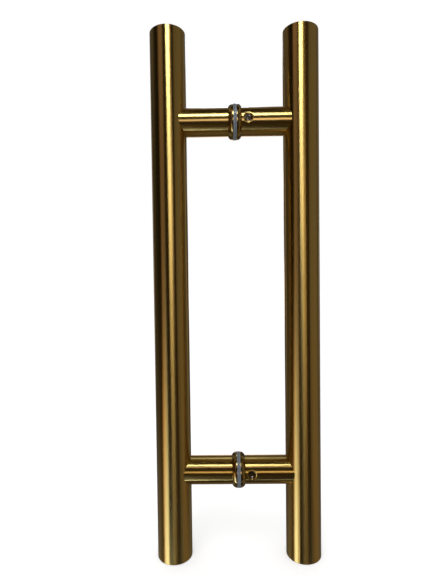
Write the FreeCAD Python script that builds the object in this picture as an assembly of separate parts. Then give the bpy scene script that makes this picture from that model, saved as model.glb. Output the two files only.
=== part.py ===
import FreeCAD, Part
import math
import os

# A back-to-back ladder pull: two long round bars, one for each face of a door,
# joined through the door by two pairs of short round posts.
# The origin is the centre of the middle plane, X runs through the door,
# Z runs up along the bars, and the small locking screws face -Y.
# All sizes are in millimetres.

# Long bars, drawn tube
bar_diameter = 30.0
bar_length = 450.0
bar_wall = 1.5
bar_edge_radius = 0.6
bar_offset = 56.3

# Cup-shaped end caps, pressed into the bars until flush
cap_thickness = 2.0
cap_depth = 9.0
cap_skirt = 1.2
cap_edge_radius = 0.5
cap_clearance = 0.05

# Posts, thick tube, one end coped to sit on the bar
post_centres = 300.0
post_diameter = 23.5
post_edge_chamfer = 0.2

# Soft washers against the door, two at each joint
gasket_diameter = 29.5
gasket_thickness = 1.5
gasket_edge_radius = 0.5

# Bead collars, a convex rim that swells from the post to the washer
collar_diameter = 29.2
collar_width = 4.0
collar_lip = 0.2

# Through bolts, socket head
bolt_diameter = 8.0
bolt_head_diameter = 13.0
bolt_head_height = 8.0
bolt_head_chamfer = 0.6
bolt_end_chamfer = 1.0
bolt_hex = 6.0
bolt_hex_depth = 4.0
bolt_end_gap = 0.6
bolt_hole_clearance = 0.25
bolt_head_room = 2.0

# Threaded plugs on the left and grooved bosses on the right
spigot_clearance = 0.05
spigot_chamfer = 0.8
plug_length = 16.0
boss_land = 3.0
groove_wall = 1.15

# Locking screws, cone point, and their threaded holes with rolled-in mouths
screw_diameter = 6.0
screw_from_collar = 5.6
screw_recess = 1.4
screw_point_diameter = 2.0
screw_end_chamfer = 0.4
screw_hex = 3.0
screw_hex_depth = 2.2
screw_seat_gap = 0.1
screw_mouth_radius = 1.5
thread_clearance = 0.05

# Radii that follow from the diameters
bar_radius = bar_diameter / 2
bar_bore_radius = bar_radius - bar_wall
post_radius = post_diameter / 2
post_bore_radius = bolt_head_diameter / 2 + bolt_head_room
spigot_radius = post_bore_radius - spigot_clearance
collar_radius = collar_diameter / 2
collar_edge_radius = post_radius + collar_lip
bolt_radius = bolt_diameter / 2
bolt_hole_radius = bolt_radius + bolt_hole_clearance
bolt_thread_radius = bolt_radius + thread_clearance
screw_radius = screw_diameter / 2
screw_hole_radius = screw_radius + thread_clearance

# Stations along X, from the middle plane outwards
collar_face = gasket_thickness
post_start = collar_face + collar_width
plug_end = post_start + plug_length
screw_station = post_start + screw_from_collar

# The groove has 45 degree flanks that match the screw's cone point
groove_radius = bolt_hole_radius + groove_wall
groove_floor = screw_point_diameter / 2 + screw_seat_gap
groove_mouth = groove_floor + spigot_radius - groove_radius
boss_end = screw_station + groove_mouth + boss_land

ORIGIN = FreeCAD.Vector(0, 0, 0)
X_AXIS = FreeCAD.Vector(1, 0, 0)
Y_AXIS = FreeCAD.Vector(0, 1, 0)
Z_AXIS = FreeCAD.Vector(0, 0, 1)
FULL_TURN = 360
HALF_TURN = 180
QUARTER_TURN = 90
HEX_SIDES = 6
ROUND_CORNER = 1 - math.sqrt(0.5)
EDGE_SAMPLES = 5
EDGE_TOLERANCE = 0.001


def turned(steps):
    """Solid turned about X from (x, radius) corners.

    A step of four numbers is an arc that passes by its first pair and ends at its second.
    """
    corners = [FreeCAD.Vector(step[-2], step[-1], 0) for step in steps]
    edges = []
    for index, step in enumerate(steps):
        start = corners[index - 1]
        end = corners[index]
        if len(step) == 4:
            middle = FreeCAD.Vector(step[0], step[1], 0)
            edges.append(Part.Arc(start, middle, end).toShape())
        else:
            edges.append(Part.LineSegment(start, end).toShape())
    solid = Part.Face(Part.Wire(edges)).revolve(ORIGIN, X_AXIS, FULL_TURN)
    if solid.Volume < 0:
        solid.reverse()
    return solid


def upright(shape):
    """Turn a shape from along X to along Z."""
    shape.rotate(ORIGIN, Y_AXIS, -QUARTER_TURN)
    return shape


def forward(shape):
    """Turn a shape from along X to along -Y."""
    shape.rotate(ORIGIN, Z_AXIS, -QUARTER_TURN)
    return shape


def on_left(shape):
    """The same piece on the other face of the door."""
    copy = shape.copy()
    copy.rotate(ORIGIN, Z_AXIS, HALF_TURN)
    return copy


def moved(shape, x=0, z=0):
    """A copy shifted along X and Z."""
    copy = shape.copy()
    copy.translate(FreeCAD.Vector(x, 0, z))
    return copy


def hex_socket(across_flats, depth, opening):
    """Six-sided prism along X that ends at the opening."""
    corner_radius = across_flats / math.sqrt(3)
    corners = []
    for index in range(HEX_SIDES + 1):
        angle = index * 2 * math.pi / HEX_SIDES
        y = corner_radius * math.cos(angle)
        z = corner_radius * math.sin(angle)
        corners.append(FreeCAD.Vector(opening - depth, y, z))
    return Part.Face(Part.makePolygon(corners)).extrude(X_AXIS * depth)


def bar():
    """Open tube with softly rounded rims."""
    end = bar_length / 2
    edge = min(bar_edge_radius, bar_wall)
    corner = edge * ROUND_CORNER
    tube = turned([
        (-end, bar_bore_radius),
        (-end, bar_radius - edge),
        (-end + corner, bar_radius - corner, -end + edge, bar_radius),
        (end - edge, bar_radius),
        (end - corner, bar_radius - corner, end, bar_radius - edge),
        (end, bar_bore_radius),
    ])
    return upright(tube)


def end_cap():
    """Drawn cup for the upper end of a bar, its flat face level with the rim."""
    face = bar_length / 2
    radius = bar_bore_radius - cap_clearance
    corner = cap_edge_radius * ROUND_CORNER
    cup = turned([
        (face - cap_thickness, 0),
        (face, 0),
        (face, radius - cap_edge_radius),
        (face - corner, radius - corner, face - cap_edge_radius, radius),
        (face - cap_depth, radius),
        (face - cap_depth, radius - cap_skirt),
        (face - cap_thickness, radius - cap_skirt),
    ])
    return upright(cup)


def post():
    """Tube from the collar to the bar, with a saddle cut to the bar's own round."""
    tube = turned([
        (post_start, post_bore_radius),
        (post_start, post_radius - post_edge_chamfer),
        (post_start + post_edge_chamfer, post_radius),
        (bar_offset, post_radius),
        (bar_offset, post_bore_radius),
    ])
    saddle = Part.makeCylinder(
        bar_radius,
        bar_length,
        FreeCAD.Vector(bar_offset, 0, -bar_length / 2),
        Z_AXIS,
    )
    return tube.cut(saddle)


def drilled(tube):
    """The post with a threaded hole towards -Y, its mouth rolled in where it was polished."""
    hole = Part.makeCylinder(
        screw_hole_radius,
        post_radius,
        FreeCAD.Vector(screw_station, 0, 0),
        -Y_AXIS,
    )
    tube = tube.cut(hole)
    wall = post_radius - post_bore_radius
    land = screw_from_collar - screw_hole_radius - post_edge_chamfer
    roll = min(screw_mouth_radius, wall / 2, land - post_edge_chamfer)
    mouth = [edge for edge in tube.Edges if is_hole_mouth(edge)]
    return tube.makeFillet(roll, mouth)


def is_hole_mouth(edge):
    """Whether an edge lies both on the post's outside and on the wall of the screw hole."""
    for point in edge.discretize(EDGE_SAMPLES):
        from_post_axis = math.hypot(point.y, point.z)
        from_hole_axis = math.hypot(point.x - screw_station, point.z)
        on_post = math.isclose(from_post_axis, post_radius, abs_tol=EDGE_TOLERANCE)
        on_hole = math.isclose(from_hole_axis, screw_hole_radius, abs_tol=EDGE_TOLERANCE)
        if not (on_post and on_hole):
            return False
    return True


def bead():
    """Rim of a collar, from the washer face to the post, as steps of a turned outline."""
    rise = collar_radius - collar_edge_radius
    arc_radius = (collar_width**2 + rise**2) / (2 * rise)
    half_angle = math.atan2(rise, collar_width)
    return [
        (collar_face, collar_radius),
        (
            collar_face + arc_radius * math.sin(half_angle),
            collar_radius - arc_radius * (1 - math.cos(half_angle)),
            post_start,
            collar_edge_radius,
        ),
    ]


def threaded_plug():
    """Collar and spigot in one, tapped for the bolt."""
    return turned([
        (collar_face, bolt_thread_radius),
        *bead(),
        (post_start, spigot_radius),
        (plug_end - spigot_chamfer, spigot_radius),
        (plug_end, spigot_radius - spigot_chamfer),
        (plug_end, bolt_thread_radius),
    ])


def clamp_boss():
    """Collar and spigot in one, bored for the bolt and grooved for the locking screw."""
    return turned([
        (collar_face, bolt_hole_radius),
        *bead(),
        (post_start, spigot_radius),
        (screw_station - groove_mouth, spigot_radius),
        (screw_station - groove_floor, groove_radius),
        (screw_station + groove_floor, groove_radius),
        (screw_station + groove_mouth, spigot_radius),
        (boss_end - spigot_chamfer, spigot_radius),
        (boss_end, spigot_radius - spigot_chamfer),
        (boss_end, bolt_hole_radius),
    ])


def gasket():
    """Flat washer with a rounded rim."""
    radius = gasket_diameter / 2
    edge = min(gasket_edge_radius, gasket_thickness / 3)
    corner = edge * ROUND_CORNER
    return turned([
        (0, bolt_hole_radius),
        (0, radius - edge),
        (corner, radius - corner, edge, radius),
        (gasket_thickness - edge, radius),
        (gasket_thickness - corner, radius - corner, gasket_thickness, radius - edge),
        (gasket_thickness, bolt_hole_radius),
    ])


def through_bolt():
    """Socket-head bolt, head on the boss and point in the plug."""
    point = bolt_end_gap - plug_end
    head_radius = bolt_head_diameter / 2
    head_end = boss_end + bolt_head_height
    blank = turned([
        (point, 0),
        (point, bolt_radius - bolt_end_chamfer),
        (point + bolt_end_chamfer, bolt_radius),
        (boss_end, bolt_radius),
        (boss_end, head_radius),
        (head_end - bolt_head_chamfer, head_radius),
        (head_end, head_radius - bolt_head_chamfer),
        (head_end, 0),
    ])
    return blank.cut(hex_socket(bolt_hex, bolt_hex_depth, head_end))


def locking_screw():
    """Headless screw with a cone point in the boss's groove."""
    outer_end = post_radius - screw_recess
    point = groove_radius + screw_seat_gap
    point_radius = screw_point_diameter / 2
    blank = turned([
        (point, 0),
        (point, point_radius),
        (point + screw_radius - point_radius, screw_radius),
        (outer_end - screw_end_chamfer, screw_radius),
        (outer_end, screw_radius - screw_end_chamfer),
        (outer_end, 0),
    ])
    blank = blank.cut(hex_socket(screw_hex, screw_hex_depth, outer_end))
    return moved(forward(blank), x=screw_station)


def build():
    """Every piece in its place, by node name."""
    upper_cap = end_cap()
    lower_cap = upper_cap.copy()
    lower_cap.rotate(ORIGIN, X_AXIS, HALF_TURN)
    pieces = {}
    for side, offset in (("left", -bar_offset), ("right", bar_offset)):
        pieces[side + "_bar"] = moved(bar(), x=offset)
        pieces[side + "_bar_upper_cap"] = moved(upper_cap, x=offset)
        pieces[side + "_bar_lower_cap"] = moved(lower_cap, x=offset)

    plain_post = post()
    drilled_post = drilled(plain_post)
    washer = gasket()
    for level, z in (("upper", post_centres / 2), ("lower", -post_centres / 2)):
        pieces["left_" + level + "_post"] = moved(on_left(plain_post), z=z)
        pieces["right_" + level + "_post"] = moved(drilled_post, z=z)
        pieces["left_" + level + "_threaded_plug"] = moved(on_left(threaded_plug()), z=z)
        pieces["right_" + level + "_clamp_boss"] = moved(clamp_boss(), z=z)
        pieces["left_" + level + "_gasket"] = moved(on_left(washer), z=z)
        pieces["right_" + level + "_gasket"] = moved(washer, z=z)
        pieces[level + "_through_bolt"] = moved(through_bolt(), z=z)
        pieces[level + "_locking_screw"] = moved(locking_screw(), z=z)
    return pieces


def main():
    os.makedirs("parts", exist_ok=True)
    for name, shape in build().items():
        shape.exportStep(os.path.join("parts", name + ".step"))


main()
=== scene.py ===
import math
from typing import NamedTuple

import bmesh
import bpy
from bmesh.types import BMEdge, BMFace, BMVert
from bpy.props import FloatProperty, FloatVectorProperty, IntProperty, PointerProperty
from mathutils import Matrix, Vector


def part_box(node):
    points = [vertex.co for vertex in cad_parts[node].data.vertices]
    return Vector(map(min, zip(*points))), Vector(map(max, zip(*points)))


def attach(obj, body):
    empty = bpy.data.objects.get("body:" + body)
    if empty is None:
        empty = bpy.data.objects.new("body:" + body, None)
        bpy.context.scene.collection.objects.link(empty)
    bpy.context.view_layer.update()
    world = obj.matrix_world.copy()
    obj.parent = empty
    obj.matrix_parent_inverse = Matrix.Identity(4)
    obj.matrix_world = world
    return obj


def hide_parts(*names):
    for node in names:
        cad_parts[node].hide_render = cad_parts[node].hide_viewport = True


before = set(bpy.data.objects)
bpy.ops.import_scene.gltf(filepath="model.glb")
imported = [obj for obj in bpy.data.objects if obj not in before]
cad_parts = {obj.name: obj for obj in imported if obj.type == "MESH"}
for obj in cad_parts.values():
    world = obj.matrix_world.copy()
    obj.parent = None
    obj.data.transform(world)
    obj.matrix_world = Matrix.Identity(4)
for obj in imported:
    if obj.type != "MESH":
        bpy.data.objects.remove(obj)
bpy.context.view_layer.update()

bl_info = {
    "name": "Ladder Pull",
    "version": (1, 0, 0),
    "blender": (4, 5, 0),
    "location": "3D View > Sidebar > Ladder Pull",
    "description": "Dresses a back-to-back ladder pull in brushed gold and sets it on a plain stage",
    "category": "Object",
}

# Places and sizes that come from the frame, in metres
BAR_LOW, BAR_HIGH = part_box("right_bar")
CAP_LOW, CAP_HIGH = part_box("right_bar_upper_cap")
POST_LOW, POST_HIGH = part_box("right_upper_post")
PLUG_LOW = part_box("left_upper_threaded_plug")[0]
BOSS_LOW, BOSS_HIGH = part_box("right_upper_clamp_boss")
GASKET_LOW, GASKET_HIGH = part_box("right_upper_gasket")
BOLT_LOW, BOLT_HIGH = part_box("upper_through_bolt")
SCREW_LOW, SCREW_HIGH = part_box("upper_locking_screw")

BAR_X = (BAR_LOW.x + BAR_HIGH.x) / 2
BAR_RADIUS = (BAR_HIGH.y - BAR_LOW.y) / 2
BAR_END = BAR_HIGH.z
CAP_RADIUS = (CAP_HIGH.y - CAP_LOW.y) / 2
CAP_DEPTH = CAP_HIGH.z - CAP_LOW.z
POST_Z = (POST_LOW.z + POST_HIGH.z) / 2
POST_RADIUS = (POST_HIGH.z - POST_LOW.z) / 2
POST_START = POST_LOW.x
COLLAR_FACE = BOSS_LOW.x
COLLAR_RADIUS = (BOSS_HIGH.z - BOSS_LOW.z) / 2
PLUG_END = -PLUG_LOW.x
BOSS_END = BOSS_HIGH.x
GASKET_RADIUS = (GASKET_HIGH.z - GASKET_LOW.z) / 2
GASKET_THICKNESS = GASKET_HIGH.x - GASKET_LOW.x
BOLT_POINT = BOLT_LOW.x
BOLT_END = BOLT_HIGH.x
BOLT_HEAD_RADIUS = (BOLT_HIGH.z - BOLT_LOW.z) / 2
SCREW_X = (SCREW_LOW.x + SCREW_HIGH.x) / 2
SCREW_RADIUS = (SCREW_HIGH.z - SCREW_LOW.z) / 2
SCREW_OUTER = -SCREW_LOW.y
SCREW_POINT = -SCREW_HIGH.y

BODY = "root"
MM = 0.001
TURN = math.tau
SIDES = ("left", "right")
LEVELS = ("upper", "lower")
SHARP_ANGLE = math.radians(32)
# Corners closer than these, in metres, are merged, and one closer than NEAR to a place lies on it
MERGE = 1e-7
THREAD_MERGE = 1e-6
NEAR = 2e-6


def length(name, description, default):
    """A size in metres, shown in the scene's units."""
    return FloatProperty(name=name, description=description, default=default, precision=5, unit="LENGTH")


def share(name, description, default, high=1.0):
    """A plain number from nought up."""
    return FloatProperty(name=name, description=description, default=default, min=0.0, max=high)


def colour(name, description, default):
    """A linear colour."""
    return FloatVectorProperty(name=name, description=description, default=default, subtype="COLOR", size=3)


def angle(name, description, degrees):
    """An angle, given in degrees."""
    return FloatProperty(name=name, description=description, default=math.radians(degrees), subtype="ANGLE")


def position(name, description, default):
    """A place on the stage, in metres."""
    return FloatVectorProperty(
        name=name, description=description, default=default, subtype="TRANSLATION", unit="LENGTH"
    )


class PullSizes(bpy.types.PropertyGroup):
    """Sizes of the pull's pieces that the frame's boxes don't give."""

    bar_wall: length("Bar wall", "Wall of the drawn bar tube", 1.5 * MM)
    bar_edge: length("Bar edge", "Rounding of the bar's rims", 0.6 * MM)
    cap_thickness: length("Cap thickness", "Thickness of an end cap's face", 2.0 * MM)
    cap_skirt: length("Cap skirt", "Wall of an end cap's skirt", 1.2 * MM)
    cap_edge: length("Cap edge", "Rounding of an end cap's face", 0.5 * MM)
    post_bore: length("Post bore", "Radius of the bore of a post", 8.5 * MM)
    post_edge: length("Post edge", "Broken edge of a post beside its collar", 0.2 * MM)
    spigot_radius: length("Spigot radius", "Radius of the spigots inside the posts", 8.45 * MM)
    spigot_edge: length("Spigot edge", "Chamfer at the end of a spigot", 0.8 * MM)
    collar_lip: length("Collar lip", "Step from the collar's bead down to the post", 0.2 * MM)
    groove_radius: length("Groove radius", "Floor radius of the boss's locking groove", 5.4 * MM)
    groove_floor: length("Groove floor", "Half the width of the locking groove's floor", 1.1 * MM)
    gasket_edge: length("Washer edge", "Rounding of a soft washer's rim", 0.5 * MM)
    bolt_radius: length("Bolt radius", "Outer radius of the bolt's thread", 4.0 * MM)
    bolt_bore: length("Bolt bore", "Radius of the bolt's clear hole", 4.25 * MM)
    bolt_tapped: length("Bolt thread bore", "Radius of the plug's tapped hole", 4.05 * MM)
    bolt_edge: length("Bolt head edge", "Chamfer of the bolt's head", 0.6 * MM)
    bolt_pitch: length("Bolt pitch", "Pitch of the bolt's thread", 1.25 * MM)
    bolt_tip: length("Bolt tip", "Chamfer of the bolt's point", 1.0 * MM)
    bolt_thread: length("Bolt thread", "Threaded part of the bolt's shank", 28.0 * MM)
    bolt_hex: length("Bolt hex", "Hex socket across its flats", 6.0 * MM)
    bolt_hex_depth: length("Bolt hex depth", "Depth of the bolt's hex socket", 4.0 * MM)
    screw_hole: length("Screw hole", "Radius of the locking screw's hole", 3.05 * MM)
    screw_mouth: length("Screw mouth", "Roll of the polished mouth of the screw's hole", 1.5 * MM)
    screw_pitch: length("Screw pitch", "Pitch of the locking screw's thread", 1.0 * MM)
    screw_hex: length("Screw hex", "Hex socket across its flats", 3.0 * MM)
    screw_hex_depth: length("Screw hex depth", "Depth of the locking screw's hex socket", 2.2 * MM)
    screw_tip: length("Screw tip", "Radius of the locking screw's blunt point", 1.0 * MM)
    turning_steps: IntProperty(
        name="Turning steps", description="Facets round the bars, posts and collars", default=160, min=40
    )


class PullFinish(bpy.types.PropertyGroup):
    """Colours and roughness of the pull's finishes."""

    gold: colour("Gold", "Main colour of the gold coating", (0.56, 0.351, 0.088))
    gold_deep: colour("Deep gold", "Colour in the brushing's fine lines", (0.55, 0.343, 0.085))
    gold_rough: share("Gold roughness", "Roughness of the brushed gold", 0.282)
    gold_rough_spread: share("Roughness spread", "How far the roughness differs between lines", 0.004)
    gold_grain: share("Gold grain", "How far the bars' brushing draws reflections out", 1.0)
    post_rough: share("Post roughness", "Roughness of the brushed posts", 0.280)
    post_grain: share("Post grain", "How far the posts' brushing draws reflections out", 0.9)
    collar_rough: share("Collar roughness", "Roughness of the turned collars", 0.20)
    collar_grain: share("Collar grain", "How far the turning marks draw reflections out", 0.2)
    mouth_rough: share("Mouth roughness", "Roughness of the rolled mouths of the screw holes", 0.30)
    mouth_grain: share("Mouth grain", "How far the rolled mouths draw reflections out", 0.0)
    # The collars are the same gold coating as the posts; their two colours are set darker than the gold's as
    # painted shade
    collar: colour("Collar", "Main colour of the turned collars", (0.40, 0.257, 0.075))
    collar_deep: colour("Deep collar", "Colour in the collars' turning marks", (0.385, 0.246, 0.071))
    gold_line: length("Brushed line", "Width of the brushing's fine lines", 0.30 * MM)
    gold_depth: length("Brushed depth", "Depth of the brushing's fine lines", 0.0001 * MM)
    washer: colour("Washer", "Main colour of the soft washers", (0.115, 0.130, 0.145))
    washer_pale: colour("Pale washer", "Colour where a washer's rim is rubbed", (0.20, 0.215, 0.23))
    steel: colour("Steel", "Colour of the bolts and screws", (0.64, 0.54, 0.40))
    steel_dark: colour("Dark steel", "Colour in the steel's marks", (0.20, 0.15, 0.09))


class PullStage(bpy.types.PropertyGroup):
    """The camera, the floor, the lamp and the cards that the metal mirrors."""

    lens: FloatProperty(
        name="Lens",
        description="Focal length of the camera, in millimetres",
        default=25.58,
        subtype="DISTANCE_CAMERA",
    )
    camera_place: position(
        "Camera place", "Where the camera stands", (-12.88 * MM, -353.91 * MM, 18.44 * MM)
    )
    camera_tilt: angle("Camera tilt", "How far the camera looks down", 1.65)
    camera_roll: angle("Camera roll", "How far the camera leans to the right", 0.704)
    camera_turn: angle("Camera turn", "How far the camera turns to the left", 0.707)
    floor: colour("Floor", "Colour of the floor", (0.86, 0.86, 0.86))
    floor_rough: share("Floor roughness", "Roughness of the floor", 0.9)
    floor_reach: length("Floor reach", "Half the width of the floor", 6.0)
    floor_glow: share("Floor glow", "White that the floor adds where it is seen", 0.4, high=2.0)
    sky: share("Sky", "Strength of the white surroundings on soft surfaces", 0.75, high=5.0)
    cards: share("Cards", "Strength of the mirrored cards", 1.35, high=5.0)
    lamp: FloatProperty(
        name="Lamp", description="Power of the soft lamp above", default=4.0, subtype="POWER"
    )
    lamp_size: length("Lamp size", "Width of the soft lamp", 0.8)
    lamp_place: position("Lamp place", "Where the soft lamp hangs", (-0.3, -0.8, 1.0))


# Turned shapes

def turned(outline, steps, closed=True):
    """Mesh of an outline of (along, radius) corners turned about X."""
    bm = bmesh.new()
    corners = [bm.verts.new((along, 0.0, radius)) for along, radius in outline]
    ends = corners[1:] + corners[:1] if closed else corners[1:]
    lines = [bm.edges.new(pair) for pair in zip(corners, ends)]
    bmesh.ops.spin(
        bm, geom=corners + lines, cent=(0, 0, 0), axis=(1, 0, 0), angle=TURN, steps=steps, use_merge=True
    )
    bmesh.ops.remove_doubles(bm, verts=bm.verts, dist=MERGE)
    bmesh.ops.recalc_face_normals(bm, faces=bm.faces)
    return bm


def ring_edges(bm, along, radius):
    """Edges of the turned corner at one place of the outline."""
    found = []
    for edge in bm.edges:
        if all(
            abs(vert.co.x - along) < NEAR and abs(math.hypot(vert.co.y, vert.co.z) - radius) < NEAR
            for vert in edge.verts
        ):
            found.append(edge)
    if not found:
        raise RuntimeError(f"no turned corner at {along:.5f}, {radius:.5f}")
    return found


def round_rims(bm, corners, size, segments):
    """Round, or with one segment chamfer, turned corners given as (along, radius)."""
    edges = []
    for along, radius in corners:
        edges += ring_edges(bm, along, radius)
    bmesh.ops.bevel(
        bm,
        geom=edges,
        offset=size,
        offset_type="OFFSET",
        segments=segments,
        profile=0.5,
        affect="EDGES",
        material=-1,
        clamp_overlap=True,
    )


def placed(bm, *moves):
    """Apply transforms to the whole mesh, in order."""
    for move in moves:
        bmesh.ops.transform(bm, matrix=move, verts=bm.verts)
    return bm


def of_kind(parts, kind):
    """Those of a mesh's parts that are vertices, edges or faces."""
    return [part for part in parts if isinstance(part, kind)]


def upright():
    """From along X to along Z."""
    return Matrix.Rotation(-TURN / 4, 4, "Y")


def forward():
    """From along X to along -Y."""
    return Matrix.Rotation(-TURN / 4, 4, "Z")


def about_face():
    """From the right side of the door to the left."""
    return Matrix.Rotation(TURN / 2, 4, "Z")


def shift(x=0.0, y=0.0, z=0.0):
    """Move without turning."""
    return Matrix.Translation((x, y, z))


def level_height(level):
    """Height of the upper or lower posts."""
    return POST_Z if level == "upper" else -POST_Z


# Finished pieces

def weighted(context, piece):
    """Let the large faces set the normals, so that long flats and cylinders mirror truly."""
    modifier = piece.modifiers.new("large_faces_first", "WEIGHTED_NORMAL")
    modifier.keep_sharp = True
    depsgraph = context.evaluated_depsgraph_get()
    mesh = bpy.data.meshes.new_from_object(
        piece.evaluated_get(depsgraph), preserve_all_data_layers=True, depsgraph=depsgraph
    )
    piece.modifiers.clear()
    rough = piece.data
    piece.data = mesh
    bpy.data.meshes.remove(rough)
    mesh.name = piece.name


def true_wall(mesh, radius, height):
    """Give a post's turned wall the exact normals of its round, also where it is pierced."""
    normals = [Vector(corner.vector) for corner in mesh.corner_normals]
    for loop in mesh.loops:
        place = mesh.vertices[loop.vertex_index].co
        out = Vector((0.0, place.y, place.z - height))
        if abs(out.length - radius) < NEAR and normals[loop.index].angle(out) < SHARP_ANGLE:
            normals[loop.index] = out.normalized()
    mesh.normals_split_custom_set(normals)


def finished(context, bm, name, node, slot, *materials):
    """Make the mesh a piece of the pull that stands for a node of the frame."""
    bmesh.ops.recalc_face_normals(bm, faces=bm.faces)
    for face in bm.faces:
        face.smooth = True
    for edge in bm.edges:
        edge.smooth = edge.calc_face_angle(0.0) < SHARP_ANGLE
    mesh = bpy.data.meshes.new(name)
    bm.to_mesh(mesh)
    bm.free()
    for material in materials:
        mesh.materials.append(material)
    piece = bpy.data.objects.new(name, mesh)
    context.scene.collection.objects.link(piece)
    weighted(context, piece)
    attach(piece, BODY)
    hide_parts(node)
    return piece


def cut_or_joined(context, bm, operation, *others):
    """The mesh less each of the others, or grown together with them."""
    mesh = bpy.data.meshes.new("blank")
    bm.to_mesh(mesh)
    bm.free()
    blank = bpy.data.objects.new("blank", mesh)
    context.scene.collection.objects.link(blank)
    tools = []
    for other in others:
        tool_mesh = bpy.data.meshes.new("other")
        other.to_mesh(tool_mesh)
        other.free()
        tool = bpy.data.objects.new("other", tool_mesh)
        context.scene.collection.objects.link(tool)
        tools.append(tool)
        modifier = blank.modifiers.new("cut_or_join", "BOOLEAN")
        modifier.operation = operation
        modifier.solver = "EXACT"
        modifier.object = tool
    depsgraph = context.evaluated_depsgraph_get()
    result = bmesh.new()
    result.from_object(blank, depsgraph)
    bmesh.ops.remove_doubles(result, verts=result.verts, dist=NEAR)
    many_sided = [face for face in result.faces if len(face.verts) > 4]
    bmesh.ops.triangulate(result, faces=many_sided, ngon_method="BEAUTY")
    bmesh.ops.dissolve_degenerate(result, edges=result.edges, dist=NEAR)
    for scrap in [blank, *tools]:
        scrap_mesh = scrap.data
        bpy.data.objects.remove(scrap)
        bpy.data.meshes.remove(scrap_mesh)
    return result


# Materials

# Range that holds most of a noise's values
NOISE_LOW, NOISE_HIGH = 0.3, 0.7
# A shader's Anisotropic Rotation counts whole turns
QUARTER_TURN = 0.25


class Nodes:
    """Shorthand for building a material's nodes."""

    def __init__(self, name):
        self.material = bpy.data.materials.new(name)
        self.material.use_nodes = True
        self.tree = self.material.node_tree
        self.shader = self.tree.nodes["Principled BSDF"]

    def add(self, kind, **settings):
        """A new node with its settings."""
        node = self.tree.nodes.new(kind)
        for key, value in settings.items():
            setattr(node, key, value)
        return node

    def link(self, start, end):
        """Join two sockets."""
        self.tree.links.new(start, end)

    def noise(self, scale, stretch=(1.0, 1.0, 1.0), detail=3.0):
        """Noise on the object's own coordinates, stretched along its axes."""
        place = self.add("ShaderNodeTexCoord")
        mapping = self.add("ShaderNodeMapping")
        mapping.inputs["Scale"].default_value = stretch
        texture = self.add("ShaderNodeTexNoise")
        texture.inputs["Scale"].default_value = scale
        texture.inputs["Detail"].default_value = detail
        self.link(place.outputs["Object"], mapping.inputs["Vector"])
        self.link(mapping.outputs["Vector"], texture.inputs["Vector"])
        return texture.outputs["Fac"]

    def spread(self, value, low, high):
        """Spread the middle of a noise over a range."""
        node = self.add("ShaderNodeMapRange")
        node.inputs["From Min"].default_value = NOISE_LOW
        node.inputs["From Max"].default_value = NOISE_HIGH
        node.inputs["To Min"].default_value = low
        node.inputs["To Max"].default_value = high
        self.link(value, node.inputs["Value"])
        return node.outputs["Result"]

    def blend(self, value, first, second):
        """Colour between two by a value."""
        node = self.add("ShaderNodeMix", data_type="RGBA")
        colours = [socket for socket in node.inputs if socket.type == "RGBA"]
        colours[0].default_value = (*first, 1.0)
        colours[1].default_value = (*second, 1.0)
        self.link(value, node.inputs["Factor"])
        return next(socket for socket in node.outputs if socket.type == "RGBA")

    def bump(self, value, depth, strength=1.0):
        """Relief of a real depth on the shader."""
        node = self.add("ShaderNodeBump")
        node.inputs["Strength"].default_value = strength
        node.inputs["Distance"].default_value = depth
        self.link(value, node.inputs["Height"])
        self.link(node.outputs["Normal"], self.shader.inputs["Normal"])


def gold_metal(name, finish, colours, axis, grain, roughness):
    """Gold coating over metal worked round the piece's axis."""
    nodes = Nodes(name)
    lines_across = 1.0 / finish.gold_line
    changes_along = 6.0
    if axis == "X":
        stretch = (lines_across, changes_along, changes_along)
    else:
        stretch = (changes_along, changes_along, lines_across)
    lines = nodes.noise(scale=1.0, stretch=stretch, detail=1.0)
    shader = nodes.shader
    shader.inputs["Metallic"].default_value = 1.0
    shader.inputs["Anisotropic"].default_value = grain
    shader.inputs["Anisotropic Rotation"].default_value = QUARTER_TURN
    tangent = nodes.add("ShaderNodeTangent", direction_type="RADIAL", axis=axis)
    nodes.link(tangent.outputs["Tangent"], shader.inputs["Tangent"])
    nodes.link(nodes.blend(nodes.spread(lines, low=0.0, high=1.0), *colours), shader.inputs["Base Color"])
    spread = finish.gold_rough_spread
    rough_lines = nodes.spread(lines, low=roughness - spread, high=roughness + spread)
    nodes.link(rough_lines, shader.inputs["Roughness"])
    nodes.bump(lines, depth=finish.gold_depth)
    return nodes.material


def washer_plastic(name, finish):
    """Smooth grey plastic, a little rubbed."""
    nodes = Nodes(name)
    cloud = nodes.noise(scale=900.0)
    rubbed = nodes.blend(nodes.spread(cloud, low=0.0, high=1.0), finish.washer, finish.washer_pale)
    shader = nodes.shader
    shader.inputs["IOR"].default_value = 1.49
    nodes.link(rubbed, shader.inputs["Base Color"])
    nodes.link(nodes.spread(cloud, low=0.28, high=0.42), shader.inputs["Roughness"])
    nodes.bump(cloud, depth=0.01 * MM, strength=0.3)
    return nodes.material


def screw_steel(name, finish):
    """Plain dark steel with fine marks."""
    nodes = Nodes(name)
    cloud = nodes.noise(scale=1500.0)
    marked = nodes.blend(nodes.spread(cloud, low=0.0, high=1.0), finish.steel, finish.steel_dark)
    shader = nodes.shader
    shader.inputs["Metallic"].default_value = 1.0
    nodes.link(marked, shader.inputs["Base Color"])
    nodes.link(nodes.spread(cloud, low=0.10, high=0.32), shader.inputs["Roughness"])
    nodes.bump(cloud, depth=0.05 * MM)
    return nodes.material


def once(name, make, *inputs):
    """The material of that name, made the first time it is asked for."""
    return bpy.data.materials.get(name) or make(name, *inputs)


def gold_round_z(finish):
    """Gold for the upright bars and their caps."""
    colours = (finish.gold, finish.gold_deep)
    return once(
        "gold_brushed_round_z", gold_metal, finish, colours, "Z", finish.gold_grain, finish.gold_rough
    )


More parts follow.
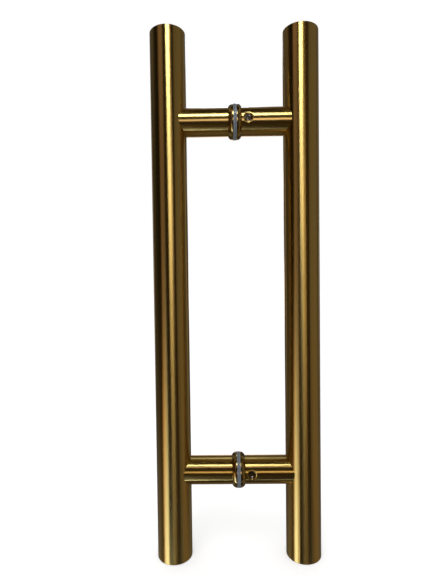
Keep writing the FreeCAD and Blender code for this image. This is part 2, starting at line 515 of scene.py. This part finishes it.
def gold_round_x(finish):
    """Gold for the posts."""
    colours = (finish.gold, finish.gold_deep)
    return once(
        "gold_brushed_round_x", gold_metal, finish, colours, "X", finish.post_grain, finish.post_rough
    )


def shaded_gold_turned(finish):
    """Smoother gold for the turned collars, its colours darkened from the gold's as painted shade."""
    colours = (finish.collar, finish.collar_deep)
    return once("shaded_gold_turned", gold_metal, finish, colours, "X", finish.collar_grain, finish.collar_rough)


def gold_rolled(finish):
    """Gold for the rolled-in mouths of the locking screws' holes."""
    colours = (finish.gold, finish.gold_deep)
    return once("gold_rolled", gold_metal, finish, colours, "X", finish.mouth_grain, finish.mouth_rough)


# Shapes of the pieces

# Place of the rolled gold among a drilled post's materials
ROLLED_SLOT = 1


def bar_tube(sizes):
    """Open tube with softly rounded rims, along X."""
    bore = BAR_RADIUS - sizes.bar_wall
    rims = [(-BAR_END, BAR_RADIUS), (BAR_END, BAR_RADIUS)]
    bm = turned([(-BAR_END, bore), *rims, (BAR_END, bore)], sizes.turning_steps)
    round_rims(bm, rims, sizes.bar_edge, segments=6)
    return bm


def cap_cup(sizes):
    """Drawn cup along X, its face level with the bar's rim."""
    inside = CAP_RADIUS - sizes.cap_skirt
    under = BAR_END - sizes.cap_thickness
    lip = BAR_END - CAP_DEPTH
    bm = turned(
        [(BAR_END, 0.0), (BAR_END, CAP_RADIUS), (lip, CAP_RADIUS),
         (lip, inside), (under, inside), (under, 0.0)],
        sizes.turning_steps,
        closed=False,
    )
    round_rims(bm, [(BAR_END, CAP_RADIUS)], sizes.cap_edge, segments=5)
    return bm


def post_tube(sizes, columns=()):
    """Tube along X whose far end is coped to the bar, with extra rings at the columns."""
    rings = [(x, POST_RADIUS) for x in columns]
    bore_rings = [(x, sizes.post_bore) for x in reversed(columns)]
    bm = turned(
        [(POST_START, sizes.post_bore), (POST_START, POST_RADIUS), *rings, (BAR_X, POST_RADIUS),
         (BAR_X, sizes.post_bore), *bore_rings],
        sizes.turning_steps,
    )
    round_rims(bm, [(POST_START, POST_RADIUS)], sizes.post_edge, segments=2)
    for vert in bm.verts:
        if abs(vert.co.x - BAR_X) < NEAR:
            vert.co.x = BAR_X - math.sqrt(BAR_RADIUS**2 - vert.co.y**2)
    return bm


def window(bm, radius, low, high, half_angle):
    """Open a window in a turned wall towards -Y and return its border edges."""
    inside = []
    for face in bm.faces:
        middle = face.calc_center_median()
        spread = math.atan2(middle.z, -middle.y)
        on_wall = all(abs(math.hypot(vert.co.y, vert.co.z) - radius) < NEAR for vert in face.verts)
        if on_wall and low < middle.x < high and abs(spread) < half_angle:
            inside.append(face)
    held = set(inside)
    border = [edge for face in inside for edge in face.edges if not held.issuperset(edge.link_faces)]
    bmesh.ops.delete(bm, geom=inside, context="FACES")
    return border


def seat_on_wall(verts, radius, ring_radius, sink):
    """Bring a ring to its radius about the screw's axis and sink it below the turned wall."""
    for vert in verts:
        across = Vector((vert.co.x - SCREW_X, vert.co.z)).normalized() * ring_radius
        vert.co = (SCREW_X + across.x, -math.sqrt(radius**2 - across.y**2) + sink, across.y)


def ring_round_screw(bm, radius, ring_radius, count):
    """A ring of edges round the screw's axis, lying on a turned wall."""
    made = bmesh.ops.create_circle(
        bm, segments=count, radius=ring_radius, matrix=shift(x=SCREW_X) @ Matrix.Rotation(TURN / 4, 4, "X")
    )
    seat_on_wall(made["verts"], radius, ring_radius, sink=0.0)
    return list({edge for vert in made["verts"] for edge in vert.link_edges})


def web_onto_wall(bm, border, rim, radius):
    """Join a window's border to the ring in it by faces that follow the turned wall."""
    web = bmesh.ops.bridge_loops(bm, edges=border + rim)["edges"]
    spokes = [edge for edge in web if edge not in border and edge not in rim]
    added = bmesh.ops.subdivide_edges(bm, edges=spokes, cuts=3, use_grid_fill=True)["geom_inner"]
    for vert in of_kind(added, BMVert):
        vert.co.y = -math.sqrt(radius**2 - vert.co.z**2)


def drilled_post(sizes):
    """A post with the locking screw's hole, its mouth rolled in."""
    cells = 20
    roll_steps = 10
    step = TURN / sizes.turning_steps
    half_angle = step * cells / 2
    half_width = SCREW_X - POST_START - 2 * sizes.post_edge
    columns = [SCREW_X - half_width + 2 * half_width * i / cells for i in range(cells + 1)]
    bm = post_tube(sizes, columns)
    mouth = sizes.screw_hole + sizes.screw_mouth

    border = window(bm, POST_RADIUS, columns[0], columns[-1], half_angle)
    rim = ring_round_screw(bm, POST_RADIUS, mouth, len(border))
    web_onto_wall(bm, border, rim, POST_RADIUS)
    for index in range(1, roll_steps + 1):
        turn = TURN / 4 * index / roll_steps
        made = bmesh.ops.extrude_edge_only(bm, edges=rim)["geom"]
        for face in of_kind(made, BMFace):
            face.material_index = ROLLED_SLOT
        rim_verts = of_kind(made, BMVert)
        rim = [edge for edge in of_kind(made, BMEdge) if all(vert in rim_verts for vert in edge.verts)]
        seat_on_wall(
            rim_verts,
            POST_RADIUS,
            mouth - sizes.screw_mouth * math.sin(turn),
            sink=sizes.screw_mouth * (1 - math.cos(turn)),
        )

    border = window(bm, sizes.post_bore, columns[0], columns[-1], half_angle)
    inner = ring_round_screw(bm, sizes.post_bore, sizes.screw_hole, len(border))
    web_onto_wall(bm, border, inner, sizes.post_bore)
    bmesh.ops.bridge_loops(bm, edges=rim + inner)
    return bm


def bead_line(sizes):
    """Corners of the collar's convex bead, from the washer to the post."""
    edge_radius = POST_RADIUS + sizes.collar_lip
    width = POST_START - COLLAR_FACE
    rise = COLLAR_RADIUS - edge_radius
    arc = (width**2 + rise**2) / (2 * rise)
    sweep = math.atan2(width, arc - rise)
    steps = 20
    line = []
    for index in range(steps + 1):
        turn = sweep * index / steps
        line.append((COLLAR_FACE + arc * math.sin(turn), COLLAR_RADIUS - arc * (1 - math.cos(turn))))
    return line


def threaded_plug(sizes):
    """Collar and spigot in one, tapped for the bolt."""
    bm = turned(
        [(COLLAR_FACE, sizes.bolt_tapped), *bead_line(sizes), (POST_START, sizes.spigot_radius),
         (PLUG_END, sizes.spigot_radius), (PLUG_END, sizes.bolt_tapped)],
        sizes.turning_steps,
    )
    round_rims(bm, [(PLUG_END, sizes.spigot_radius)], sizes.spigot_edge, segments=1)
    return bm


def clamp_boss(sizes):
    """Collar and spigot in one, bored for the bolt and grooved for the locking screw."""
    mouth = sizes.groove_floor + sizes.spigot_radius - sizes.groove_radius
    bm = turned(
        [(COLLAR_FACE, sizes.bolt_bore), *bead_line(sizes), (POST_START, sizes.spigot_radius),
         (SCREW_X - mouth, sizes.spigot_radius), (SCREW_X - sizes.groove_floor, sizes.groove_radius),
         (SCREW_X + sizes.groove_floor, sizes.groove_radius), (SCREW_X + mouth, sizes.spigot_radius),
         (BOSS_END, sizes.spigot_radius), (BOSS_END, sizes.bolt_bore)],
        sizes.turning_steps,
    )
    round_rims(bm, [(BOSS_END, sizes.spigot_radius)], sizes.spigot_edge, segments=1)
    return bm


def soft_washer(sizes):
    """Flat washer with a rounded rim."""
    bm = turned(
        [(0.0, sizes.bolt_bore), (0.0, GASKET_RADIUS), (GASKET_THICKNESS, GASKET_RADIUS),
         (GASKET_THICKNESS, sizes.bolt_bore)],
        sizes.turning_steps,
    )
    round_rims(bm, [(0.0, GASKET_RADIUS), (GASKET_THICKNESS, GASKET_RADIUS)], sizes.gasket_edge, segments=6)
    return bm


def threaded_rod(low, high, radius, pitch, point):
    """Closed rod along X with a real helical thread, a cone point and a run-out at its high end."""
    steps = 32
    depth_share = 0.6
    root = radius - depth_share * pitch
    # One pitch of the thread, as (share of the pitch, radius)
    shape = [(0.0, root), (0.1, root), (0.44, radius), (0.56, radius), (0.9, root), (1.0, root)]
    turns = math.ceil((high - low) / pitch) + 2
    bm = bmesh.new()
    corners = [bm.verts.new((low - pitch + along * pitch, 0.0, reach)) for along, reach in shape]
    lines = [bm.edges.new(pair) for pair in zip(corners, corners[1:])]
    bmesh.ops.spin(
        bm,
        geom=corners + lines,
        cent=(0, 0, 0),
        axis=(1, 0, 0),
        dvec=(pitch / steps, 0, 0),
        angle=TURN * turns,
        steps=steps * turns,
    )
    bmesh.ops.remove_doubles(bm, verts=bm.verts, dist=THREAD_MERGE)
    for vert in bm.verts:
        reach = math.hypot(vert.co.y, vert.co.z)
        fade = min(1.0, max(0.0, (high - vert.co.x) / pitch))
        kept = min(root + (reach - root) * fade, point + max(0.0, vert.co.x - low))
        vert.co.y *= kept / reach
        vert.co.z *= kept / reach
    for place, normal in ((low, (-1, 0, 0)), (high, (1, 0, 0))):
        whole = [*bm.verts, *bm.edges, *bm.faces]
        bmesh.ops.bisect_plane(bm, geom=whole, plane_co=(place, 0, 0), plane_no=normal, clear_outer=True)
    bmesh.ops.remove_doubles(bm, verts=bm.verts, dist=THREAD_MERGE)
    bmesh.ops.holes_fill(bm, edges=[edge for edge in bm.edges if edge.is_boundary], sides=0)
    bmesh.ops.recalc_face_normals(bm, faces=bm.faces)
    return bm


def bolt_head(sizes, shank_start):
    """Socket head and plain shank, along X."""
    bm = turned(
        [(shank_start, 0.0), (shank_start, sizes.bolt_radius), (BOSS_END, sizes.bolt_radius),
         (BOSS_END, BOLT_HEAD_RADIUS), (BOLT_END, BOLT_HEAD_RADIUS), (BOLT_END, 0.0)],
        sizes.turning_steps // 2,
        closed=False,
    )
    round_rims(bm, [(BOLT_END, BOLT_HEAD_RADIUS)], sizes.bolt_edge, segments=1)
    return bm


def hex_corner(across_flats):
    """Radius of a hexagon's corners."""
    return across_flats / math.sqrt(3)


def hex_socket(across_flats, depth, opening):
    """Cutter for a hex socket, open towards +X."""
    corner = hex_corner(across_flats)
    bm = bmesh.new()
    bmesh.ops.create_cone(
        bm, cap_ends=True, segments=6, radius1=corner, radius2=corner, depth=2 * depth,
        matrix=shift(x=opening) @ Matrix.Rotation(TURN / 4, 4, "Y"),
    )
    return bm


def socket_mouth(across_flats, opening):
    """Cutter for the small cone at the mouth of a hex socket, open towards +X."""
    steps = 48
    wider = 1.25
    reach = wider * hex_corner(across_flats)
    bm = bmesh.new()
    bmesh.ops.create_cone(
        bm, cap_ends=True, segments=steps, radius1=0.0, radius2=2 * reach, depth=2 * reach,
        matrix=shift(x=opening) @ Matrix.Rotation(TURN / 4, 4, "Y"),
    )
    bmesh.ops.remove_doubles(bm, verts=bm.verts, dist=MERGE)
    return bm


# Operators, one for each group of like pieces

class PULL_OT_bars(bpy.types.Operator):
    """Two long bars of drawn tube"""

    bl_idname = "pull.bars"
    bl_label = "Bars"

    def execute(self, context):
        sizes, finish = context.scene.pull_sizes, context.scene.pull_finish
        for side, x in zip(SIDES, (-BAR_X, BAR_X)):
            bm = placed(bar_tube(sizes), upright(), shift(x=x))
            finished(context, bm, side + "_bar_tube", side + "_bar", "gold_metal", gold_round_z(finish))
        return {"FINISHED"}


class PULL_OT_caps(bpy.types.Operator):
    """Four cup-shaped end caps, level with the bars' rims"""

    bl_idname = "pull.caps"
    bl_label = "End caps"

    def execute(self, context):
        sizes, finish = context.scene.pull_sizes, context.scene.pull_finish
        for side, x in zip(SIDES, (-BAR_X, BAR_X)):
            for level, turn in zip(LEVELS, (0.0, TURN / 2)):
                bm = placed(cap_cup(sizes), upright(), Matrix.Rotation(turn, 4, "X"), shift(x=x))
                node = f"{side}_bar_{level}_cap"
                finished(context, bm, node + "_cup", node, "gold_metal", gold_round_z(finish))
        return {"FINISHED"}


class PULL_OT_posts(bpy.types.Operator):
    """Four posts coped to the bars, the right ones drilled for the locking screws"""

    bl_idname = "pull.posts"
    bl_label = "Posts"

    def execute(self, context):
        sizes, finish = context.scene.pull_sizes, context.scene.pull_finish
        gold, rolled = gold_round_x(finish), gold_rolled(finish)
        for level in LEVELS:
            z = level_height(level)
            left = placed(post_tube(sizes), about_face(), shift(z=z))
            right = placed(drilled_post(sizes), shift(z=z))
            for side, bm, golds in zip(SIDES, (left, right), ((gold,), (gold, rolled))):
                node = f"{side}_{level}_post"
                post = finished(context, bm, node + "_tube", node, "gold_metal", *golds)
                true_wall(post.data, POST_RADIUS, z)
        return {"FINISHED"}


class PULL_OT_collars(bpy.types.Operator):
    """Bead collars: threaded plugs on the left, grooved bosses on the right"""

    bl_idname = "pull.collars"
    bl_label = "Collars"

    def execute(self, context):
        sizes, finish = context.scene.pull_sizes, context.scene.pull_finish
        # The collars get the gold darkened as painted shade
        gold = shaded_gold_turned(finish)
        for level in LEVELS:
            z = level_height(level)
            plug = placed(threaded_plug(sizes), about_face(), shift(z=z))
            boss = placed(clamp_boss(sizes), shift(z=z))
            finished(context, plug, f"left_{level}_collar", f"left_{level}_threaded_plug", "gold_metal", gold)
            finished(context, boss, f"right_{level}_collar", f"right_{level}_clamp_boss", "gold_metal", gold)
        return {"FINISHED"}


class PULL_OT_washers(bpy.types.Operator):
    """Two soft washers at each joint"""

    bl_idname = "pull.washers"
    bl_label = "Washers"

    def execute(self, context):
        sizes, finish = context.scene.pull_sizes, context.scene.pull_finish
        plastic = once("washer_grey_plastic", washer_plastic, finish)
        for level in LEVELS:
            for side, turn in zip(SIDES, (about_face(), Matrix.Identity(4))):
                bm = placed(soft_washer(sizes), turn, shift(z=level_height(level)))
                joint = f"{side}_{level}"
                finished(context, bm, joint + "_washer", joint + "_gasket", "washer_plastic", plastic)
        return {"FINISHED"}


class PULL_OT_bolts(bpy.types.Operator):
    """Two socket-head bolts that draw the sides together"""

    bl_idname = "pull.bolts"
    bl_label = "Through bolts"

    def execute(self, context):
        sizes, finish = context.scene.pull_sizes, context.scene.pull_finish
        steel = once("screw_plain_steel", screw_steel, finish)
        thread_end = BOLT_POINT + sizes.bolt_thread
        thread = threaded_rod(
            BOLT_POINT, thread_end, sizes.bolt_radius, sizes.bolt_pitch, sizes.bolt_radius - sizes.bolt_tip
        )
        whole = cut_or_joined(context, bolt_head(sizes, thread_end - sizes.bolt_pitch / 2), "UNION", thread)
        bolt = cut_or_joined(
            context,
            whole,
            "DIFFERENCE",
            hex_socket(sizes.bolt_hex, sizes.bolt_hex_depth, BOLT_END),
            socket_mouth(sizes.bolt_hex, BOLT_END),
        )
        for level in LEVELS:
            bm = placed(bolt.copy(), shift(z=level_height(level)))
            finished(context, bm, level + "_joint_bolt", level + "_through_bolt", "plain_steel", steel)
        bolt.free()
        return {"FINISHED"}


class PULL_OT_screws(bpy.types.Operator):
    """Two headless locking screws with hex sockets"""

    bl_idname = "pull.screws"
    bl_label = "Locking screws"

    def execute(self, context):
        sizes, finish = context.scene.pull_sizes, context.scene.pull_finish
        steel = once("screw_plain_steel", screw_steel, finish)
        screw = cut_or_joined(
            context,
            threaded_rod(SCREW_POINT, SCREW_OUTER, SCREW_RADIUS, sizes.screw_pitch, sizes.screw_tip),
            "DIFFERENCE",
            hex_socket(sizes.screw_hex, sizes.screw_hex_depth, SCREW_OUTER),
            socket_mouth(sizes.screw_hex, SCREW_OUTER),
        )
        for level in LEVELS:
            bm = placed(screw.copy(), forward(), shift(x=SCREW_X, z=level_height(level)))
            finished(context, bm, level + "_grub_screw", level + "_locking_screw", "plain_steel", steel)
        screw.free()
        return {"FINISHED"}


# Stage

class Card(NamedTuple):
    """A curved upright card that shows only in reflections.

    It runs from start to end, in degrees about Z from 0 in front to 90 at the right, and has tones at
    heights in metres.
    """

    name: str
    start: float
    end: float
    distance: float
    tint: tuple
    tones: tuple


class Sheet(NamedTuple):
    """A level card above or below, with its two sides along X and tones at places along Y, in metres."""

    name: str
    height: float
    sides: tuple
    tint: tuple
    tones: tuple


def band(places, middle, rim):
    """Tones that are even between the two middle places and change towards the rims."""
    return tuple(zip(places, (rim, middle, middle, rim)))


# Tints of the cards' light
ORANGE = (1.0, 0.72, 0.55)
ROSE = (1.0, 0.78, 0.85)
AMBER = (1.0, 0.84, 0.70)
WARM = (1.0, 0.90, 0.78)
PLAIN = (1.0, 1.0, 1.0)
PALE = (1.0, 0.98, 1.30)
DAYLIGHT = (0.80, 1.04, 1.40)
COOL = (0.80, 1.04, 1.60)

# Distances, heights and places that cards share, in metres: a wall all round, windows above the
# camera and behind the pull, and strips below the floor
WALL = 3.0
FOOT, TOP = -4.0, 5.2
WALL_HEIGHTS = (FOOT, -1.2, 1.2, TOP)
SIDE_HEIGHTS = (-1.0, -0.6, 1.2, 1.8)
WINDOW = 0.45
WINDOW_HEIGHTS = (0.42, 0.45, 0.65, 0.68)
STRIP = -0.425
STRIP_PLACES = (-0.148, -0.142, -0.114, -0.108)

CARDS = (
    Card(
        "far_left_card", -146, -99, WALL, PLAIN,
        ((FOOT, 0.30), (-2.2, 0.22), (-1.2, 0.05), (0.0, 0.03), (1.2, 0.03), (2.2, 0.14), (TOP, 0.18)),
    ),
    Card(
        "left_dark_flag", -99, -58, WALL, WARM,
        ((FOOT, 0.16), (-2.0, 0.10), (-1.2, 0.02), (0.0, 0.003), (TOP, 0.008)),
    ),
    Card(
        "left_card", -58, -43, WALL, ROSE,
        ((FOOT, 0.22), (-0.2, 0.22), (0.6, 0.09), (1.7, 0.23), (2.6, 0.40), (TOP, 0.36)),
    ),
    Card(
        "left_dim_card", -43, -29, WALL, ROSE,
        ((FOOT, 0.06), (-0.2, 0.04), (0.6, 0.07), (1.7, 0.20), (2.6, 0.38), (TOP, 0.34)),
    ),
    Card("right_low_card", 41, 62, WALL, PLAIN, ((-0.7, 0.14), (0.0, 0.15), (TOP, 0.08))),
    Card(
        "right_low_warm_card", 41, 62, WALL, AMBER,
        ((FOOT, 0.01), (-2.2, 0.02), (-1.2, 0.17), (-0.7, 0.17)),
    ),
    Card("right_card", 62, 106, WALL, PLAIN, ((-0.5, 0.15), (0.0, 0.15), (TOP, 0.11))),
    Card("right_warm_card", 62, 106, WALL, AMBER, ((FOOT, 0.20), (-0.5, 0.18))),
    Card("far_right_flag", 106, 121, WALL, PLAIN, band(WALL_HEIGHTS, 0.05, rim=0.18)),
    Card("far_right_card", 121, 140, WALL, PLAIN, ((FOOT, 0.18), (TOP, 0.18))),
    Card("back_right_flag", 140, 154, WALL, PLAIN, band(WALL_HEIGHTS, 0.015, rim=0.05)),
    Card("back_card", 154, 206, WALL, WARM, band(WALL_HEIGHTS, 0.07, rim=0.08)),
    Card("back_left_flag", 206, 214, WALL, PLAIN, band(WALL_HEIGHTS, 0.015, rim=0.05)),
    Card(
        "middle_dark_flag", -33, 45, 12.0, ORANGE,
        ((-16.0, 0.02), (-4.8, 0.012), (6.0, 0.012), (21.0, 0.03)),
    ),
    Card(
        "right_edge_card", 23, 31, 11.8, ORANGE,
        ((-16.0, 0.015), (-4.8, 0.03), (0.0, 0.08), (6.0, 0.045), (21.0, 0.04)),
    ),
    Card("low_left_light", -69, -42, 0.42, COOL, ((-0.9, 3.2), (-0.50, 3.2), (-0.36, 1.2), (-0.34, 0.9))),
    Card("left_gap_light", -44, -35, 2.9, PLAIN, ((-3.7, 1.2), (-1.6, 1.2), (-1.1, 0.3), (-0.8, 0.05))),
    Card(
        "side_left_light", -70, -48, 0.42, ORANGE,
        ((-0.34, 1.2), (-0.24, 1.3), (-0.19, 0.25), (-0.16, 0.02)),
    ),
    Card("back_left_light", -142, -134, 2.9, WARM, band(SIDE_HEIGHTS, 0.4, rim=0.1)),
    Card("back_right_light", 126, 133, 2.9, WARM, band(SIDE_HEIGHTS, 0.3, rim=0.1)),
    Card("back_light", 172, 188, 2.2, AMBER, band((-0.27, -0.21, 0.09, 0.15), 1.6, rim=0.1)),
    Card("back_window_light", 172, 188, WINDOW, DAYLIGHT, band(WINDOW_HEIGHTS, 3.0, rim=0.3)),
    Card("back_near_light", 174, 186, 0.31, WARM, band((0.136, 0.146, 0.186, 0.194), 1.2, rim=0.1)),
    Card("front_light", -6, 18, 6.0, WARM, band((-0.4, -0.2, 0.6, 0.8), 2.2, rim=0.1)),
    Card("window_left_jamb", -14, -12, WINDOW, WARM, band(WINDOW_HEIGHTS, 1.8, rim=0.2)),
    Card("window_right_jamb", 10, 16, WINDOW, WARM, band(WINDOW_HEIGHTS, 1.8, rim=0.2)),
    Card("window_light", -12, 10, WINDOW, DAYLIGHT, band(WINDOW_HEIGHTS, 12.5, rim=0.5)),
    Card("near_light", -10, 17, 0.31, PALE, band((0.116, 0.126, 0.180, 0.190), 2.2, rim=0.1)),
)
SHEETS = (
    Sheet("overhead_card", 4.8, (-6.0, 6.0), WARM, ((-6.0, 0.02), (0.6, 0.02), (1.2, 0.17), (8.0, 0.17))),
    Sheet("under_card", -3.8, (-6.0, 6.0), WARM, ((-6.0, 0.02), (0.0, 0.02), (0.4, 0.10), (8.0, 0.14))),
    Sheet("low_left_strip", STRIP, (-0.25, -0.05), COOL, band(STRIP_PLACES, 4.2, rim=0.2)),
    Sheet("low_right_strip", STRIP, (0.02, 0.25), COOL, band(STRIP_PLACES, 0.5, rim=0.1)),
)
CARD_STEPS = 24
# Cards whose tones all stay below this aren't sampled as lamps
DIM_TONE = 0.3


def glow_material(name, axis, tint, tones, strength):
    """Plain glow whose strength follows tones at places along an axis."""
    material = bpy.data.materials.new(name)
    material.use_nodes = True
    tree = material.node_tree
    tree.nodes.clear()
    low, high = tones[0][0], tones[-1][0]
    peak = max(tone for place, tone in tones)
    output = tree.nodes.new("ShaderNodeOutputMaterial")
    glow = tree.nodes.new("ShaderNodeEmission")
    glow.inputs["Strength"].default_value = peak * strength
    coordinates = tree.nodes.new("ShaderNodeTexCoord")
    parts = tree.nodes.new("ShaderNodeSeparateXYZ")
    along = tree.nodes.new("ShaderNodeMapRange")
    along.inputs["From Min"].default_value = low
    along.inputs["From Max"].default_value = high
    ramp = tree.nodes.new("ShaderNodeValToRGB")
    steps = ramp.color_ramp.elements
    while len(steps) < len(tones):
        steps.new(1.0)
    for step, (place, tone) in zip(steps, tones):
        step.position = (place - low) / (high - low)
        step.color = (*(channel * tone / peak for channel in tint), 1.0)
    tree.links.new(coordinates.outputs["Object"], parts.inputs["Vector"])
    tree.links.new(parts.outputs[axis], along.inputs["Value"])
    tree.links.new(along.outputs["Result"], ramp.inputs["Fac"])
    tree.links.new(ramp.outputs["Color"], glow.inputs["Color"])
    tree.links.new(glow.outputs["Emission"], output.inputs["Surface"])
    if peak < DIM_TONE:
        material.cycles.emission_sampling = "NONE"
    return material


def mirrored_only(context, bm, name, material):
    """Make the mesh a piece of the stage that shows only in reflections."""
    mesh = bpy.data.meshes.new(name)
    bm.to_mesh(mesh)
    bm.free()
    mesh.materials.append(material)
    card = bpy.data.objects.new(name, mesh)
    context.scene.collection.objects.link(card)
    card.visible_camera = False
    card.visible_diffuse = False
    card.visible_shadow = False
    card.visible_transmission = False


def stage_card(context, card, strength):
    """Curved upright card, turned about Z."""
    bm = bmesh.new()
    foot = bm.verts.new((0.0, -card.distance, card.tones[0][0]))
    top = bm.verts.new((0.0, -card.distance, card.tones[-1][0]))
    line = bm.edges.new((foot, top))
    to_start = Matrix.Rotation(math.radians(card.start), 3, "Z")
    bmesh.ops.rotate(bm, verts=bm.verts, cent=(0, 0, 0), matrix=to_start)
    sweep = math.radians(card.end - card.start)
    bmesh.ops.spin(
        bm, geom=[foot, top, line], cent=(0, 0, 0), axis=(0, 0, 1), angle=sweep, steps=CARD_STEPS
    )
    mirrored_only(context, bm, card.name, glow_material(card.name, "Z", card.tint, card.tones, strength))


def stage_sheet(context, sheet, strength):
    """Level card above or below the pull."""
    left, right = sheet.sides
    front, back = sheet.tones[0][0], sheet.tones[-1][0]
    middle = shift((left + right) / 2, (front + back) / 2, sheet.height)
    spread = Matrix.Diagonal((right - left, back - front, 1.0, 1.0))
    bm = bmesh.new()
    bmesh.ops.create_grid(bm, x_segments=1, y_segments=1, size=0.5, matrix=middle @ spread)
    mirrored_only(context, bm, sheet.name, glow_material(sheet.name, "Y", sheet.tint, sheet.tones, strength))


def seen(tree):
    """Socket that is one on rays that see a thing directly, mirrored or through glass."""
    path = tree.nodes.new("ShaderNodeLightPath")
    socket = path.outputs["Is Camera Ray"]
    for kind in ("Is Glossy Ray", "Is Transmission Ray"):
        either = tree.nodes.new("ShaderNodeMath")
        either.operation = "MAXIMUM"
        tree.links.new(socket, either.inputs[0])
        tree.links.new(path.outputs[kind], either.inputs[1])
        socket = either.outputs["Value"]
    return socket


def stage_floor(context, stage):
    """White floor under the bar ends, left out of reflections."""
    bm = bmesh.new()
    bmesh.ops.create_grid(
        bm, x_segments=1, y_segments=1, size=stage.floor_reach, matrix=shift(z=-BAR_END)
    )
    mesh = bpy.data.meshes.new("floor")
    bm.to_mesh(mesh)
    bm.free()
    material = bpy.data.materials.new("floor_white")
    material.use_nodes = True
    tree = material.node_tree
    shader = tree.nodes["Principled BSDF"]
    shader.inputs["Base Color"].default_value = (*stage.floor, 1.0)
    shader.inputs["Roughness"].default_value = stage.floor_rough
    shader.inputs["Emission Color"].default_value = (1.0, 1.0, 1.0, 1.0)
    glow = tree.nodes.new("ShaderNodeMath")
    glow.operation = "MULTIPLY"
    glow.inputs[1].default_value = stage.floor_glow
    tree.links.new(seen(tree), glow.inputs[0])
    tree.links.new(glow.outputs["Value"], shader.inputs["Emission Strength"])
    mesh.materials.append(material)
    floor = bpy.data.objects.new("floor", mesh)
    context.scene.collection.objects.link(floor)
    floor.visible_glossy = False


def stage_world(context, stage):
    """Surroundings that look white and light soft surfaces less strongly."""
    world = bpy.data.worlds.new("white_surroundings")
    context.scene.world = world
    world.use_nodes = True
    tree = world.node_tree
    background = tree.nodes["Background"]
    background.inputs["Color"].default_value = (1.0, 1.0, 1.0, 1.0)
    strength = tree.nodes.new("ShaderNodeMapRange")
    strength.inputs["To Min"].default_value = stage.sky
    strength.inputs["To Max"].default_value = 1.0
    tree.links.new(seen(tree), strength.inputs["Value"])
    tree.links.new(strength.outputs["Result"], background.inputs["Strength"])


def stage_lamp(context, stage):
    """One broad soft lamp above and in front."""
    data = bpy.data.lights.new("key_lamp", "AREA")
    data.shape = "DISK"
    data.size = stage.lamp_size
    data.energy = stage.lamp
    lamp = bpy.data.objects.new("key_lamp", data)
    lamp.location = stage.lamp_place
    lamp.rotation_euler = (-lamp.location).to_track_quat("-Z", "Y").to_euler()
    lamp.visible_glossy = False
    context.scene.collection.objects.link(lamp)


def stage_camera(context, stage):
    """Camera at the photograph's own place."""
    data = bpy.data.cameras.new("camera")
    data.lens = stage.lens
    camera = bpy.data.objects.new("camera", data)
    context.scene.collection.objects.link(camera)
    turn = (
        Matrix.Rotation(-stage.camera_tilt, 4, "X")
        @ Matrix.Rotation(stage.camera_roll, 4, "Y")
        @ Matrix.Rotation(stage.camera_turn, 4, "Z")
        @ Matrix.Rotation(TURN / 4, 4, "X")
    )
    camera.matrix_world = Matrix.Translation(stage.camera_place) @ turn
    data.clip_start = 10 * MM
    context.scene.camera = camera


class PULL_OT_stage(bpy.types.Operator):
    """Floor, surroundings, mirrored cards, lamp and camera"""

    bl_idname = "pull.stage"
    bl_label = "Stage"

    def execute(self, context):
        stage = context.scene.pull_stage
        context.scene.view_settings.view_transform = "Standard"
        stage_floor(context, stage)
        stage_world(context, stage)
        for card in CARDS:
            stage_card(context, card, stage.cards)
        for sheet in SHEETS:
            stage_sheet(context, sheet, stage.cards)
        stage_lamp(context, stage)
        stage_camera(context, stage)
        return {"FINISHED"}


OPERATORS = (
    PULL_OT_bars,
    PULL_OT_caps,
    PULL_OT_posts,
    PULL_OT_collars,
    PULL_OT_washers,
    PULL_OT_bolts,
    PULL_OT_screws,
    PULL_OT_stage,
)


class PULL_PT_pull(bpy.types.Panel):
    """Makes the pull's pieces and its stage"""

    bl_idname = "PULL_PT_pull"
    bl_label = "Ladder Pull"
    bl_space_type = "VIEW_3D"
    bl_region_type = "UI"
    bl_category = "Ladder Pull"

    def draw(self, context):
        for operator in OPERATORS:
            self.layout.operator(operator.bl_idname)
        for group in (context.scene.pull_sizes, context.scene.pull_finish, context.scene.pull_stage):
            column = self.layout.column()
            for name in group.__annotations__:
                column.prop(group, name)


CLASSES = (PullSizes, PullFinish, PullStage, *OPERATORS, PULL_PT_pull)


def register():
    """Add the panel, the operators and the scene's values."""
    for made in CLASSES:
        bpy.utils.register_class(made)
    bpy.types.Scene.pull_sizes = PointerProperty(type=PullSizes)
    bpy.types.Scene.pull_finish = PointerProperty(type=PullFinish)
    bpy.types.Scene.pull_stage = PointerProperty(type=PullStage)


def unregister():
    """Take them away again."""
    del bpy.types.Scene.pull_stage
    del bpy.types.Scene.pull_finish
    del bpy.types.Scene.pull_sizes
    for made in reversed(CLASSES):
        bpy.utils.unregister_class(made)


def main():
    """Make every piece and the stage."""
    register()
    bpy.ops.pull.bars()
    bpy.ops.pull.caps()
    bpy.ops.pull.posts()
    bpy.ops.pull.collars()
    bpy.ops.pull.washers()
    bpy.ops.pull.bolts()
    bpy.ops.pull.screws()
    bpy.ops.pull.stage()


if __name__ == "__main__":
    main()
